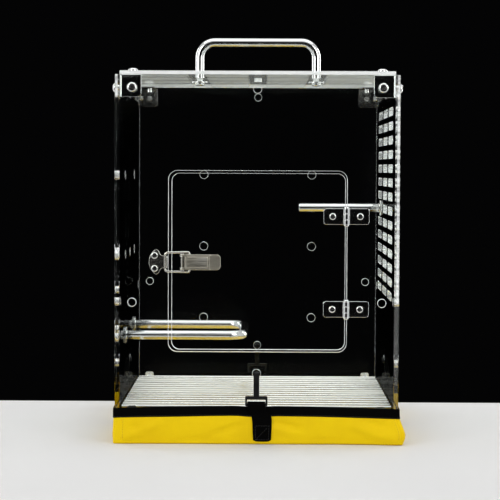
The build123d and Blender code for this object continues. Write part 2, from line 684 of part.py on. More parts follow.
def strap_hook():
    """The front hook: a slotted base on the strap and a shank with a peg."""
    back_y = BAR_Y + HOOK_GAUGE / 2
    front_y = BAR_Y - HOOK_GAUGE / 2
    base = rounded_slab((-HOOK_HALF, HOOK_HALF), HOOK_BASE_Z, 1.5, (front_y, back_y))
    base -= rounded_slab((-HOOK_SLOT_HALF, HOOK_SLOT_HALF), HOOK_SLOT_Z, 0.6, (front_y - 1, back_y + 1))
    plane = Plane(origin=(-SHANK_HALF, 0, 0), x_dir=(0, 1, 0), z_dir=(1, 0, 0))
    near = FRONT_Y - 0.4
    top = PEG_Z + PEG_R
    side = Polyline((front_y, HOOK_BASE_Z[1] - 2), (back_y, HOOK_BASE_Z[1] - 2), (near, PEG_Z - PEG_R - 6),
                    (near, top), (near - HOOK_GAUGE, top), (front_y, PEG_Z - PEG_R - 6), close=True)
    shank = extrude(plane * make_face(side), amount=2 * SHANK_HALF)
    shank = fillet(shank.edges().filter_by(Axis.X).group_by(Axis.Z)[-1].sort_by(Axis.Y)[0], 2.0)
    peg = bar(PEG_R, (0, near - 1, PEG_Z), (0, PEG_END_Y, PEG_Z))
    lip_y = (PEG_END_Y - PEG_LIP_WIDTH, PEG_END_Y)
    lip = block((-PEG_LIP_WIDTH, PEG_LIP_WIDTH), lip_y, (PEG_Z - PEG_R - PEG_LIP, PEG_Z))
    return base + shank + peg + lip


def pieces():
    """Every node of the cage by name."""
    nodes = {
        "front_panel": front_panel(),
        "back_panel": back_panel(),
        "left_panel": left_panel(),
        "right_panel": right_panel(),
        "top_panel": top_panel(),
        "door_panel": door_panel(),
        "bracket_screws": bracket_screws(),
        "hinge_screws_wall": hinge_screws(1),
        "hinge_nuts_wall": hinge_nuts(1),
        "hinge_screws_door": hinge_screws(-1),
        "hinge_nuts_door": hinge_nuts(-1),
        "latch_keeper": latch_keeper(),
        "keeper_screws": keeper_screws(),
        "keeper_nuts": keeper_nuts(),
        "latch_base": latch_base(),
        "latch_base_screws": latch_base_screws(),
        "latch_base_nuts": latch_base_nuts(),
        "latch_pin": latch_pin(),
        "latch_lever": latch_lever(),
        "latch_bail": latch_bail(),
        "carry_handle": carry_handle(),
        "handle_washers": handle_washers(),
        "handle_screws": handle_screws(),
        "perch_loop": perch_loop(),
        "perch_rod": perch_rod(),
        "floor_grille": floor_grille(),
        "tray_fabric": tray_fabric(),
        "tray_binding": tray_binding(),
    }
    bracket = corner_bracket()
    for corner, angle in CORNERS.items():
        nodes["corner_bracket_" + corner] = turned(bracket, angle)
    for level, z in HINGE_Z.items():
        nodes["hinge_leaf_wall_" + level] = leaf(1, z, "middle", PIN_R + 0.02)
        nodes["hinge_leaf_door_" + level] = leaf(-1, z, "outer", PIN_R + 0.06)
        nodes["hinge_pin_" + level] = hinge_pin(z)
    for name, places in perch_mounts().items():
        nodes[name + "_inner_washers"] = perch_inner_washers(places)
        nodes[name + "_outer_washers"] = perch_outer_washers(places)
        nodes[name + "_screws"] = perch_screws(places)
    ledge_screws = []
    for end, angle, top in (("front", 0, FRONT_LEDGE_TOP), ("back", 180, LEDGE_TOP)):
        for name, x in (("left", -GRILLE_RUNNER_X), ("right", GRILLE_RUNNER_X)):
            place = x if angle == 0 else -x
            nodes["grille_ledge_" + end + "_" + name] = turned(grille_ledge(place, top), angle)
            seat = (place, -INNER + LEDGE_GAUGE, LEDGE_SCREW_Z)
            ledge_screws.append(turned(pan_screw(seat, (0, -1, 0), LEDGE_GAUGE + LEDGE_SCREW_DEPTH), angle))
    nodes["ledge_screws"] = group(ledge_screws)
    webbing = strap()
    hook = strap_hook()
    for side, angle in SIDES.items():
        nodes["strap_" + side] = turned(webbing, angle)
        nodes["hook_" + side] = turned(hook, angle)
    return nodes


os.makedirs("parts", exist_ok=True)
for name, shape in pieces().items():
    export_step(shape, "parts/" + name + ".step")
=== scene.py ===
import json
import math
import random

import bpy
from mathutils import Matrix, Vector


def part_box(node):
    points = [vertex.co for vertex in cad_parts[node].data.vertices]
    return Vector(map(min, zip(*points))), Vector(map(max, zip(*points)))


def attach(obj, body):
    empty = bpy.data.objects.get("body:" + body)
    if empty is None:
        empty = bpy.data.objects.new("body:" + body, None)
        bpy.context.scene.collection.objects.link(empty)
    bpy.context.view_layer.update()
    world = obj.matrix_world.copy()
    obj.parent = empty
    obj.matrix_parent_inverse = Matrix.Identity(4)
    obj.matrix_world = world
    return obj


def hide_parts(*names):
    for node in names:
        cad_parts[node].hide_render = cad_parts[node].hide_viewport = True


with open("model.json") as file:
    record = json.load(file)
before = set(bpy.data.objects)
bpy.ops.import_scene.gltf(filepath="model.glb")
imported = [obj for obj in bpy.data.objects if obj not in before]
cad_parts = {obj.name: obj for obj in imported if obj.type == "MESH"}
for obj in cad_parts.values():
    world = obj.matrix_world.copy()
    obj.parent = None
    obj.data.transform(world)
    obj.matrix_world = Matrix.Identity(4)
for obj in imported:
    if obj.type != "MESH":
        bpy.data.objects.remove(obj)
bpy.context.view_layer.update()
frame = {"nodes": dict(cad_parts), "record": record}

# Lengths are in metres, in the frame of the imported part. MM turns millimetres into metres.
MM = 0.001
SIDES = ["front", "right", "back", "left"]

# Camera, solved from the edges of the box in the photograph of 500 x 500 pixels.
IMAGE_SIDE = 500
FOCAL_PIXELS = 1729.4
SENSOR = 36.0
EYE = Vector((4.6, -1969.8, 291.7)) * MM
LOOK_DOWN = math.radians(2.70)
LOOK_LEFT = math.radians(0.376)
ROLL = math.radians(0.244)

# Clear sheets. A face share is how much of a face bends light instead of letting it straight through.
FACE_SHARE = {"front": 0.004, "back": 0.004, "door": 0.004, "left": 1.0, "right": 1.0, "top": 0.05}
ACRYLIC_INDEX = 1.49
ACRYLIC_TINT = (0.97, 0.985, 0.975, 1.0)
BORE_ROUGHNESS = 0.12
CHAMFER = 0.4 * MM
PLATE_ROUNDING = 0.4 * MM
SCREW_X = 66 * MM              # the handle's screws, from the middle of the top sheet
OUTER_CUT_X = 144.4 * MM       # cuts past these are on the sheets' outer edges, not on bores
OUTER_CUT_Y = 149.4 * MM
TOP_CUT_Z = 389.5 * MM
LOWEST_CUT_Z = 2.4 * MM
PRESSED = ("corner_bracket", "hinge_leaf", "latch_keeper", "latch_base", "latch_lever")
THIN_AXES = {"front": (0, 1, 0), "back": (0, 1, 0), "door": (0, 1, 0), "left": (1, 0, 0), "right": (1, 0, 0),
             "top": (0, 0, 1)}
# How much of each kind of cut shows white: the bores' chamfers, the bores, the outer edges.
# Then how much of the outer edges shows at all: their chamfers, their flats.
CUT_WHITE = {"front": (0.5, 0.35, 0.0, 0.0, 0.0), "back": (0.5, 0.35, 0.05, 0.3, 0.3),
             "door": (0.4, 0.25, 0.25, 1.0, 1.0), "left": (0.14, 0.1, 0.0, 0.04, 1.0),
             "right": (0.3, 0.2, 0.04, 0.04, 1.0), "top": (0.3, 0.12, 0.6, 1.0, 1.0)}
# Painted glow: a side sheet's front edge is painted white from this height up, in place of the light that
# runs inside the sheet and leaves there.
PAINTED_GLOW_FROM = {"left": 366 * MM, "right": 150 * MM}
# Share of white satin in the painted glow.
PAINTED_GLOW = 0.75
PAINTED_GLOW_FRONT_Y = -149.2 * MM
PAINTED_GLOW_STRIP_X = 148.35 * MM   # middle of the strip that glows
SIDE_MIRROR = 0.06             # how much of a side sheet's mirror image the dark room leaves
LEAST_TURNED_BACK = 0.2587     # slant at which light inside a sheet can't leave it through a face
# Haze on the top sheet, shown only at grazing angles: partly wiped haze, partly a painted sheen.
TOP_HAZE_AND_SHEEN = 0.6

# Nodes whose finish isn't quite that of their slot. The back brackets get a dark copy of polished steel:
# painted shade.
OWN_FINISH = {"latch_lever": "dull_nickel", "corner_bracket_back_left": "steel_in_painted_shade",
              "corner_bracket_back_right": "steel_in_painted_shade"}

# Table top that the cage stands on.
TABLE_HALF = 460 * MM
TABLE_BACK = 190 * MM          # how far the table goes on behind the middle of the cage
TABLE_DEPTH = 34 * MM
TABLE_ROUNDING = 6 * MM

# Fabric tray, read from the solids that it stands for.
TRAY_LOW, TRAY_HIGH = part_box("tray_fabric")
TRAY_OUT = TRAY_HIGH.x
CLOTH = 1.0 * MM
TRAY_MID = TRAY_OUT - 1.3 * MM
TRAY_CORNER = 2.4 * MM
TRAY_EDGE = 37.4 * MM          # height of the tray's edge at its corners
TRAY_BOW = 2.8 * MM            # how much higher the edge is between them
TRAY_DIP = 1.0 * MM            # where the hook's bar presses it down
DIP_WIDTH = 15 * MM
FOOT_RADIUS = 2.2 * MM         # at the right; the left of the foot is pressed flatter
FLAT_FOOT_RADIUS = 0.9 * MM
BELLY = 0.9 * MM
FOLD_DEPTH = 2.2
SEAM_X = (-142.7 * MM, 146.8 * MM)
SEAM_GROOVE = 0.5 * MM
FLARE = {"front": 8.6 * MM, "right": 3.6 * MM, "back": 4.8 * MM, "left": 1.0 * MM}
FLARE_REACH = 24 * MM
FLARE_HEIGHT = 10 * MM
FLARE_TOP = 32 * MM

# Binding tape, straps and thread.
TAPE = 0.5 * MM
TAPE_OFF = CLOTH / 2 + TAPE / 2 + 0.05 * MM
THREAD = 0.4 * MM
STITCH = 2.2 * MM
STITCH_STEP = 3.2 * MM
STRAP_THICK = 1.2 * MM
STRAP_FOOT_Z = 2.8 * MM
STRAP_EYE = 3.1 * MM           # from the hook's bar to the middle of the webbing
STRAP_FOOT_HALF = 9.6          # half widths of a strap in millimetres: at its foot, then where it is widest
STRAP_WIDE_HALF = 10.6
STRAP_WIDE_Z = 31              # height in millimetres where a strap is widest
STRAP_LEAN = {"front": 6.2 * MM, "right": 0.8 * MM, "back": -1.2 * MM, "left": 0.4 * MM}
BAR_OUT = 154.2 * MM           # the hook's bar, from the middle of the cage
BAR_Z = 42.6 * MM


def node(tree, kind, **settings):
    """A new shader node with its plain settings."""
    made = tree.nodes.new(kind)
    for name, value in settings.items():
        setattr(made, name, value)
    return made


def feed(tree, target, name, source):
    """Puts a number, a colour or another node's output into a socket."""
    socket = target.inputs[name]
    if isinstance(source, bpy.types.NodeSocket):
        tree.links.new(source, socket)
    else:
        socket.default_value = source


def maths(tree, operation, *values):
    """A Math node; each value is a number or a socket."""
    made = node(tree, "ShaderNodeMath", operation=operation)
    for place, value in enumerate(values):
        feed(tree, made, place, value)
    return made.outputs[0]


def times(tree, first, second):
    """The product of two numbers or sockets."""
    return maths(tree, "MULTIPLY", first, second)


def rest_of(tree, value):
    """What is left of 1 when a value is taken away."""
    return maths(tree, "SUBTRACT", 1.0, value)


def own_place(tree):
    """A piece's own coordinates, in metres."""
    return node(tree, "ShaderNodeTexCoord").outputs["Object"]


def axes_of(tree, vector):
    """The X, Y and Z of a vector."""
    split = node(tree, "ShaderNodeSeparateXYZ")
    tree.links.new(vector, split.inputs[0])
    return split.outputs


def remap(tree, value, low, high, to_low, to_high):
    """A smooth Map Range from one span to another."""
    made = node(tree, "ShaderNodeMapRange", interpolation_type="SMOOTHSTEP")
    for name, number in (("Value", value), ("From Min", low), ("From Max", high),
                         ("To Min", to_low), ("To Max", to_high)):
        feed(tree, made, name, number)
    return made.outputs["Result"]


def noise(tree, vector, scale, detail=3.0, roughness=0.55):
    """Soft clouds of a scale, as values from 0 to 1."""
    made = node(tree, "ShaderNodeTexNoise")
    feed(tree, made, "Vector", vector)
    feed(tree, made, "Scale", scale)
    feed(tree, made, "Detail", detail)
    feed(tree, made, "Roughness", roughness)
    return made.outputs["Fac"]


def stretched(tree, vector, scale):
    """Coordinates drawn out along some axes."""
    made = node(tree, "ShaderNodeMapping")
    feed(tree, made, "Vector", vector)
    feed(tree, made, "Scale", scale)
    return made.outputs["Vector"]


def mix_colour(tree, share, first, second):
    """A colour between two others; each is a colour or a socket."""
    made = node(tree, "ShaderNodeMix", data_type="RGBA")
    tree.links.new(share, made.inputs["Factor"])
    for name, source in (("A", first), ("B", second)):
        socket = next(s for s in made.inputs if s.name == name and s.type == "RGBA")
        if isinstance(source, bpy.types.NodeSocket):
            tree.links.new(source, socket)
        else:
            socket.default_value = source
    return next(s for s in made.outputs if s.type == "RGBA")


def mix_shader(tree, share, first, second):
    """A Mix Shader node: share 0 is the first shader and share 1 the second."""
    made = node(tree, "ShaderNodeMixShader")
    feed(tree, made, 0, share)
    tree.links.new(first.outputs[0], made.inputs[1])
    tree.links.new(second.outputs[0], made.inputs[2])
    return made


def effect(name, inputs, outputs):
    """An empty node group: inputs gives names and default values, outputs gives names of numbers."""
    tree = bpy.data.node_groups.new(name, "ShaderNodeTree")
    for label, default in inputs.items():
        kind = "NodeSocketVector" if isinstance(default, tuple) else "NodeSocketFloat"
        socket = tree.interface.new_socket(name=label, in_out="INPUT", socket_type=kind)
        socket.default_value = default
    for label in outputs:
        tree.interface.new_socket(name=label, in_out="OUTPUT", socket_type="NodeSocketFloat")
    return tree, tree.nodes.new("NodeGroupInput"), tree.nodes.new("NodeGroupOutput")


def handling_marks():
    """Smudges and hair scratches of a polished surface that is handled and wiped."""
    tree, given, out = effect(
        "handling_marks", {"Smudge Scale": 18.0, "Smudge Roughness": 0.03, "Scratch Depth": 0.2},
        ["Roughness", "Height", "Film"])
    place = own_place(tree)
    cloud = noise(tree, place, given.outputs["Smudge Scale"], 5.0, 0.6)
    film = remap(tree, cloud, 0.5, 0.72, 0.0, 1.0)
    hairs = [noise(tree, stretched(tree, place, scale), 1.0, 2.0, 0.5)
             for scale in ((900, 40, 60), (50, 60, 1100), (45, 900, 70))]
    deepest = maths(tree, "MAXIMUM", maths(tree, "MAXIMUM", hairs[0], hairs[1]), hairs[2])
    hair = remap(tree, deepest, 0.72, 0.8, 0.0, 1.0)
    feed(tree, out, "Roughness", times(tree, film, given.outputs["Smudge Roughness"]))
    sunk = times(tree, given.outputs["Scratch Depth"], -1.0)
    feed(tree, out, "Height", times(tree, hair, sunk))
    feed(tree, out, "Film", film)
    return tree


def drawn_grain():
    """Fine lines left by drawing, rolling or brushing; Stretch is large across the lines."""
    tree, given, out = effect(
        "drawn_grain", {"Stretch": (40.0, 900.0, 900.0), "Depth": 0.3}, ["Lines", "Height"])
    place = own_place(tree)
    made = node(tree, "ShaderNodeMapping")
    feed(tree, made, "Vector", place)
    tree.links.new(given.outputs["Stretch"], made.inputs["Scale"])
    lines = noise(tree, made.outputs["Vector"], 1.0, 4.0, 0.6)
    feed(tree, out, "Lines", lines)
    feed(tree, out, "Height", times(tree, lines, given.outputs["Depth"]))
    return tree


def edge_wear():
    """Outer edges, where a finish is rubbed brighter."""
    tree, given, out = effect("edge_wear", {"Amount": 1.0}, ["Edge"])
    convex = node(tree, "ShaderNodeNewGeometry").outputs["Pointiness"]
    patchy = noise(tree, own_place(tree), 120.0)
    uneven = maths(tree, "ADD", convex, times(tree, patchy, 0.05))
    edge = remap(tree, uneven, 0.545, 0.62, 0.0, 1.0)
    feed(tree, out, "Edge", times(tree, edge, given.outputs["Amount"]))
    return tree


def plain_weave():
    """Over-and-under yarns, laid out on the cloth's own flat coordinates."""
    tree, given, out = effect(
        "plain_weave", {"Yarns Across": 1800.0, "Yarns Along": 1800.0, "Fuzz": 0.2},
        ["Height", "Gap", "Cloud"])
    flat = node(tree, "ShaderNodeUVMap", uv_map="cloth").outputs["UV"]
    split = axes_of(tree, flat)
    across = times(tree, split["X"], given.outputs["Yarns Across"])
    along = times(tree, split["Y"], given.outputs["Yarns Along"])
    turn = maths(tree, "ADD", maths(tree, "FLOOR", across), maths(tree, "FLOOR", along))
    over = maths(tree, "FLOORED_MODULO", turn, 2.0)
    round_across = maths(tree, "ABSOLUTE", maths(tree, "SINE", times(tree, across, math.pi)))
    round_along = maths(tree, "ABSOLUTE", maths(tree, "SINE", times(tree, along, math.pi)))
    warp = times(tree, round_across, over)
    weft = times(tree, round_along, rest_of(tree, over))
    yarn = maths(tree, "ADD", warp, weft)
    place = own_place(tree)
    fuzz = times(tree, noise(tree, place, 3500.0), given.outputs["Fuzz"])
    feed(tree, out, "Height", maths(tree, "ADD", yarn, fuzz))
    feed(tree, out, "Gap", remap(tree, yarn, 0.0, 0.45, 1.0, 0.0))
    feed(tree, out, "Cloud", noise(tree, place, 22.0, 4.0))
    return tree


def cut_edges():
    """Tells a sheet's faces from its cuts, and how white each kind of cut is.

    Edge is 1 on every cut that shows, Face is 0 on a cut that doesn't, Sawn is 1 on bores and
    White is the share that scatters light.
    """
    tree, given, out = effect(
        "cut_edges",
        {"Thin Axis": (0.0, 1.0, 0.0), "Chamfer White": 0.5, "Bore White": 0.3, "Outer White": 0.1,
         "Outer Chamfer": 1.0, "Outer Flat": 1.0},
        ["Edge", "Face", "Sawn", "White"])
    place = node(tree, "ShaderNodeTexCoord").outputs
    square = node(tree, "ShaderNodeVectorMath", operation="DOT_PRODUCT")
    tree.links.new(place["Normal"], square.inputs[0])
    tree.links.new(given.outputs["Thin Axis"], square.inputs[1])
    faced = maths(tree, "ABSOLUTE", square.outputs["Value"])
    split = axes_of(tree, place["Object"])
    sizes = node(tree, "ShaderNodeVectorMath", operation="ABSOLUTE")
    tree.links.new(place["Normal"], sizes.inputs[0])
    thick = node(tree, "ShaderNodeVectorMath", operation="SUBTRACT")
    tree.links.new(sizes.outputs["Vector"], thick.inputs[0])
    tree.links.new(given.outputs["Thin Axis"], thick.inputs[1])
    level = axes_of(tree, thick.outputs["Vector"])
    beside = 0.0
    for axis, half in (("X", OUTER_CUT_X), ("Y", OUTER_CUT_Y)):
        far = maths(tree, "GREATER_THAN", maths(tree, "ABSOLUTE", split[axis]), half)
        facing = maths(tree, "GREATER_THAN", level[axis], 0.5)
        beside = maths(tree, "MAXIMUM", beside, times(tree, far, facing))
    upper = maths(tree, "GREATER_THAN", split["Z"], TOP_CUT_Z)
    lower = maths(tree, "LESS_THAN", split["Z"], LOWEST_CUT_Z)
    outside = maths(tree, "MAXIMUM", beside, maths(tree, "MAXIMUM", upper, lower))
    cut = remap(tree, faced, 0.8, 0.97, 1.0, 0.0)
    chamfer = remap(tree, faced, 0.2, 0.45, 0.0, 1.0)
    inside = rest_of(tree, outside)
    plain = maths(tree, "ADD", times(tree, inside, given.outputs["Bore White"]),
                  times(tree, outside, given.outputs["Outer White"]))
    rim = times(tree, inside, given.outputs["Chamfer White"])
    rim = maths(tree, "MULTIPLY_ADD", outside, given.outputs["Outer White"], rim)
    narrow = times(tree, chamfer, rim)
    flat_shown = times(tree, rest_of(tree, chamfer), given.outputs["Outer Flat"])
    outer_shown = maths(tree, "MULTIPLY_ADD", chamfer, given.outputs["Outer Chamfer"], flat_shown)
    shown = maths(tree, "MULTIPLY_ADD", outside, outer_shown, inside)
    feed(tree, out, "Edge", times(tree, cut, shown))
    feed(tree, out, "Face", shown)
    feed(tree, out, "Sawn", times(tree, cut, inside))
    feed(tree, out, "White", times(tree, cut, maths(tree, "MAXIMUM", plain, narrow)))
    return tree


def painted_edge_glow():
    """Painted glow: where a side sheet's front edge is painted white, in place of the light that runs inside
    the sheet.
    """
    tree, given, out = effect("painted_edge_glow", {"Lowest": 1.0}, ["Light"])
    place = own_place(tree)
    split = axes_of(tree, place)
    front = maths(tree, "LESS_THAN", split["Y"], PAINTED_GLOW_FRONT_Y)
    above = maths(tree, "GREATER_THAN", split["Z"], given.outputs["Lowest"])
    across = maths(tree, "ABSOLUTE", split["X"])
    off_middle = maths(tree, "ABSOLUTE", maths(tree, "SUBTRACT", across, PAINTED_GLOW_STRIP_X))
    core = remap(tree, off_middle, 1.15 * MM, 1.5 * MM, 1.0, 0.03)
    cloud = noise(tree, stretched(tree, place, (60.0, 1.0, 240.0)), 1.0, 2.0)
    patchy = remap(tree, cloud, 0.35, 0.6, 0.55, 1.0)
    where = times(tree, front, above)
    lit = times(tree, where, times(tree, core, patchy))
    feed(tree, out, "Light", times(tree, lit, PAINTED_GLOW))
    return tree


def haze_with_painted_shade():
    """Faint haze of a sheet that is wiped from side to side, thinned round its screws: painted shade where
    the handle's legs darken the sheet.
    """
    tree, given, out = effect("haze_with_painted_shade", {"Amount": 0.5}, ["Haze"])
    place = own_place(tree)
    cloud = noise(tree, stretched(tree, place, (2.0, 60.0, 1.0)), 1.0, 2.0)
    streaks = remap(tree, cloud, 0.35, 0.6, 0.35, 1.0)
    split = axes_of(tree, place)
    across = maths(tree, "ABSOLUTE", split["X"])
    beside = maths(tree, "ABSOLUTE", maths(tree, "SUBTRACT", across, SCREW_X))
    nearest = maths(tree, "MINIMUM", across, beside)
    # Painted shade: less haze near the handle's screws.
    shade_near_screws = remap(tree, nearest, 9.0 * MM, 11.5 * MM, 0.3, 1.0)
    film = times(tree, streaks, shade_near_screws)
    feed(tree, out, "Haze", times(tree, film, given.outputs["Amount"]))
    return tree


def settled_dust():
    """Pale dust on faces that look up."""
    tree, given, out = effect("settled_dust", {"Amount": 0.2}, ["Dust"])
    coordinates = node(tree, "ShaderNodeTexCoord")
    split = axes_of(tree, coordinates.outputs["Normal"])
    upward = remap(tree, split["Z"], 0.3, 1.0, 0.0, 1.0)
    cloud = noise(tree, coordinates.outputs["Object"], 60.0, 6.0, 0.7)
    patches = remap(tree, cloud, 0.4, 0.7, 0.0, 1.0)
    grains = times(tree, upward, patches)
    feed(tree, out, "Dust", times(tree, grains, given.outputs["Amount"]))
    return tree


EFFECTS = {build.__name__: build() for build in (
    handling_marks, drawn_grain, edge_wear, plain_weave, cut_edges, painted_edge_glow, haze_with_painted_shade, settled_dust)}


def place_effect(tree, name, **values):
    """An effect in a material; a value's name has _ for the space in its socket's name."""
    made = node(tree, "ShaderNodeGroup", node_tree=EFFECTS[name])
    for label, value in values.items():
        feed(tree, made, label.replace("_", " "), value)
    return made.outputs


def bump(tree, height, distance, strength=1.0):
    """A surface normal tilted by a height."""
    made = node(tree, "ShaderNodeBump")
    feed(tree, made, "Height", height)
    feed(tree, made, "Distance", distance)
    feed(tree, made, "Strength", strength)
    return made.outputs["Normal"]


def finish_of(name, plain):
    """A new material with a Principled shader and its plain values."""
    material = bpy.data.materials.new(name)
    material.use_nodes = True
    tree = material.node_tree
    shader = next(n for n in tree.nodes if n.type == "BSDF_PRINCIPLED")
    for label, value in plain.items():
        shader.inputs[label].default_value = value
    return material, tree, shader


def clear_acrylic(side):
    """Clear cast sheet: polished faces, and sawn edges and bores that catch the light.

    The side walls bend light as real acrylic does. The other sheets let most of it straight
    through their faces, and light that comes in through an edge runs inside the sheet. A side sheet's
    front edge gets a painted glow, and the top sheet a haze with a painted sheen and painted shade.
    """
    material, tree, shader = finish_of(
        "clear_acrylic_" + side,
        {"Base Color": ACRYLIC_TINT, "IOR": ACRYLIC_INDEX, "Transmission Weight": 1.0})
    chamfers, bores, outer, outer_chamfers, outer_flats = CUT_WHITE[side]
    cut = place_effect(
        tree, "cut_edges", Thin_Axis=THIN_AXES[side], Chamfer_White=chamfers, Bore_White=bores,
        Outer_White=outer, Outer_Chamfer=outer_chamfers, Outer_Flat=outer_flats)
    # Painted glow on the side sheets' front edges, standing in for the light that runs inside them.
    painted_glow = place_effect(tree, "painted_edge_glow", Lowest=PAINTED_GLOW_FROM.get(side, 1.0))["Light"]
    marks = place_effect(
        tree, "handling_marks", Smudge_Scale=14.0, Smudge_Roughness=0.012, Scratch_Depth=0.3)
    rough = maths(tree, "MULTIPLY_ADD", cut["Sawn"], BORE_ROUGHNESS, marks["Roughness"])
    feed(tree, shader, "Roughness", rough)
    feed(tree, shader, "Normal", bump(tree, marks["Height"], 0.00002, 0.2))
    satin = node(tree, "ShaderNodeBsdfPrincipled")
    satin.inputs["Roughness"].default_value = 0.4
    satin.inputs["Base Color"].default_value = (0.93, 0.95, 0.94, 1.0)
    straight = node(tree, "ShaderNodeBsdfTransparent")
    straight.inputs["Color"].default_value = (0.975, 0.985, 0.98, 1.0)
    rays = node(tree, "ShaderNodeLightPath").outputs
    inner_side = node(tree, "ShaderNodeNewGeometry").outputs["Backfacing"]
    bent_before = maths(tree, "GREATER_THAN", rays["Transmission Depth"], 0.5)
    in_the_sheet = times(tree, inner_side, bent_before)
    face_share = maths(tree, "MAXIMUM", in_the_sheet, FACE_SHARE[side])
    faces = times(tree, cut["Face"], face_share)
    share = maths(tree, "MAXIMUM", cut["Edge"], faces)
    share = times(tree, share, rest_of(tree, rays["Is Shadow Ray"]))
    # The painted glow shows as white satin on edges seen from outside.
    painted_glow_outside = times(tree, painted_glow, rest_of(tree, inner_side))
    white = maths(tree, "MAXIMUM", cut["White"], times(tree, cut["Edge"], painted_glow_outside))
    glass = shader
    if side in ("left", "right"):
        glass = without_mirror(tree, shader, inner_side, cut["Edge"])
    sheet = mix_shader(tree, share, straight, mix_shader(tree, white, glass, satin))
    if side == "top":
        # Top sheet: haze shown only at grazing angles, partly wiped haze and partly a painted sheen, with
        # painted shade round the screws.
        grazing = node(tree, "ShaderNodeLayerWeight").outputs["Facing"]
        rubbed = place_effect(tree, "haze_with_painted_shade", Amount=TOP_HAZE_AND_SHEEN)["Haze"]
        film = times(tree, remap(tree, grazing, 0.8, 0.95, 0.0, 1.0), rubbed)
        sheet = mix_shader(tree, film, sheet, satin)
    out = next(n for n in tree.nodes if n.type == "OUTPUT_MATERIAL")
    tree.links.new(sheet.outputs[0], out.inputs["Surface"])
    return material


def without_mirror(tree, shader, inner_side, edge):
    """Real glass whose faces bend light but mirror little of it, as in a dark room.

    Light that couldn't leave the sheet through a face at all is still turned back by it.
    """
    slant = node(tree, "ShaderNodeLayerWeight").outputs["Facing"]
    steep = maths(tree, "LESS_THAN", slant, LEAST_TURNED_BACK)
    leaving = times(tree, inner_side, steep)
    entering = rest_of(tree, inner_side)
    crossing = maths(tree, "ADD", leaving, entering)
    bends = times(tree, crossing, rest_of(tree, edge))
    dim_in = times(tree, entering, remap(tree, slant, 0.78, 0.92, 0.0, 1.0))
    dim_out = times(tree, leaving, remap(tree, slant, 0.2, 0.255, 0.0, 1.0))
    bending = node(tree, "ShaderNodeBsdfRefraction")
    bending.inputs["IOR"].default_value = ACRYLIC_INDEX
    bending.inputs["Roughness"].default_value = 0.0
    dimmed = maths(tree, "ADD", dim_in, dim_out)
    feed(tree, bending, "Color", mix_colour(tree, dimmed, ACRYLIC_TINT, (0.4, 0.41, 0.405, 1.0)))
    return mix_shader(tree, times(tree, bends, 1.0 - SIDE_MIRROR), shader, bending)


def bright_metal(name, colour, worn, roughness, stretch, depth, smudges=0.05):
    """A bare or plated metal with grain, smudges and rubbed edges."""
    material, tree, shader = finish_of(name, {"Metallic": 1.0})
    grain = place_effect(tree, "drawn_grain", Stretch=stretch, Depth=depth)
    marks = place_effect(
        tree, "handling_marks", Smudge_Scale=45.0, Smudge_Roughness=smudges, Scratch_Depth=0.2)
    wear = place_effect(tree, "edge_wear", Amount=0.6)
    tone = mix_colour(tree, times(tree, marks["Film"], smudges * 7), colour, worn)
    feed(tree, shader, "Base Color", mix_colour(tree, wear["Edge"], tone, (0.86, 0.86, 0.85, 1.0)))
    lines = remap(tree, grain["Lines"], 0.3, 0.7, roughness * 0.75, roughness * 1.3)
    feed(tree, shader, "Roughness", maths(tree, "ADD", lines, marks["Roughness"]))
    relief = maths(tree, "ADD", grain["Height"], marks["Height"])
    feed(tree, shader, "Normal", bump(tree, relief, 0.00001, 0.25))
    return material


def woven(name, colour, shade, yarns, roughness, relief, sheen, dusty, shine):
    """A woven cloth or tape; yarns are counts per metre across and along."""
    given = {"Sheen Weight": sheen, "Sheen Roughness": 0.5, "Specular IOR Level": shine}
    material, tree, shader = finish_of(name, given)
    weave = place_effect(tree, "plain_weave", Yarns_Across=yarns[0], Yarns_Along=yarns[1], Fuzz=0.15)
    dust = place_effect(tree, "settled_dust", Amount=dusty)
    tone = mix_colour(tree, remap(tree, weave["Cloud"], 0.3, 0.7, 0.0, 0.5), colour, shade)
    tone = mix_colour(tree, times(tree, weave["Gap"], 0.6), tone, shade)
    feed(tree, shader, "Base Color", mix_colour(tree, dust["Dust"], tone, (0.45, 0.44, 0.4, 1.0)))
    feed(tree, shader, "Roughness", remap(tree, weave["Height"], 0.0, 1.1, roughness + 0.15, roughness))
    feed(tree, shader, "Normal", bump(tree, weave["Height"], relief, 0.8))
    return material


def moulded_plastic():
    """Black moulded plastic with a fine grain and rubbed edges."""
    material, tree, shader = finish_of("black_plastic", {"Specular IOR Level": 0.15})
    place = own_place(tree)
    grain = noise(tree, place, 2600.0, 2.0)
    wear = place_effect(tree, "edge_wear", Amount=0.5)
    dust = place_effect(tree, "settled_dust", Amount=0.01)
    tone = mix_colour(tree, wear["Edge"], (0.002, 0.002, 0.0022, 1.0), (0.012, 0.012, 0.012, 1.0))
    feed(tree, shader, "Base Color", mix_colour(tree, dust["Dust"], tone, (0.3, 0.3, 0.29, 1.0)))
    feed(tree, shader, "Roughness", remap(tree, grain, 0.3, 0.7, 0.34, 0.5))
    feed(tree, shader, "Normal", bump(tree, grain, 0.00006, 0.5))
    return material


def sewing_thread(name, colour, shade):
    """Twisted thread."""
    material, tree, shader = finish_of(name, {"Sheen Weight": 0.2, "Specular IOR Level": 0.4})
    place = own_place(tree)
    twist = node(tree, "ShaderNodeTexWave", bands_direction="DIAGONAL")
    feed(tree, twist, "Vector", place)
    feed(tree, twist, "Scale", 900.0)
    feed(tree, twist, "Distortion", 1.0)
    feed(tree, shader, "Base Color", mix_colour(tree, twist.outputs["Fac"], shade, colour))
    feed(tree, shader, "Roughness", remap(tree, twist.outputs["Fac"], 0.0, 1.0, 0.7, 0.5))
    feed(tree, shader, "Normal", bump(tree, twist.outputs["Fac"], 0.00008))
    return material


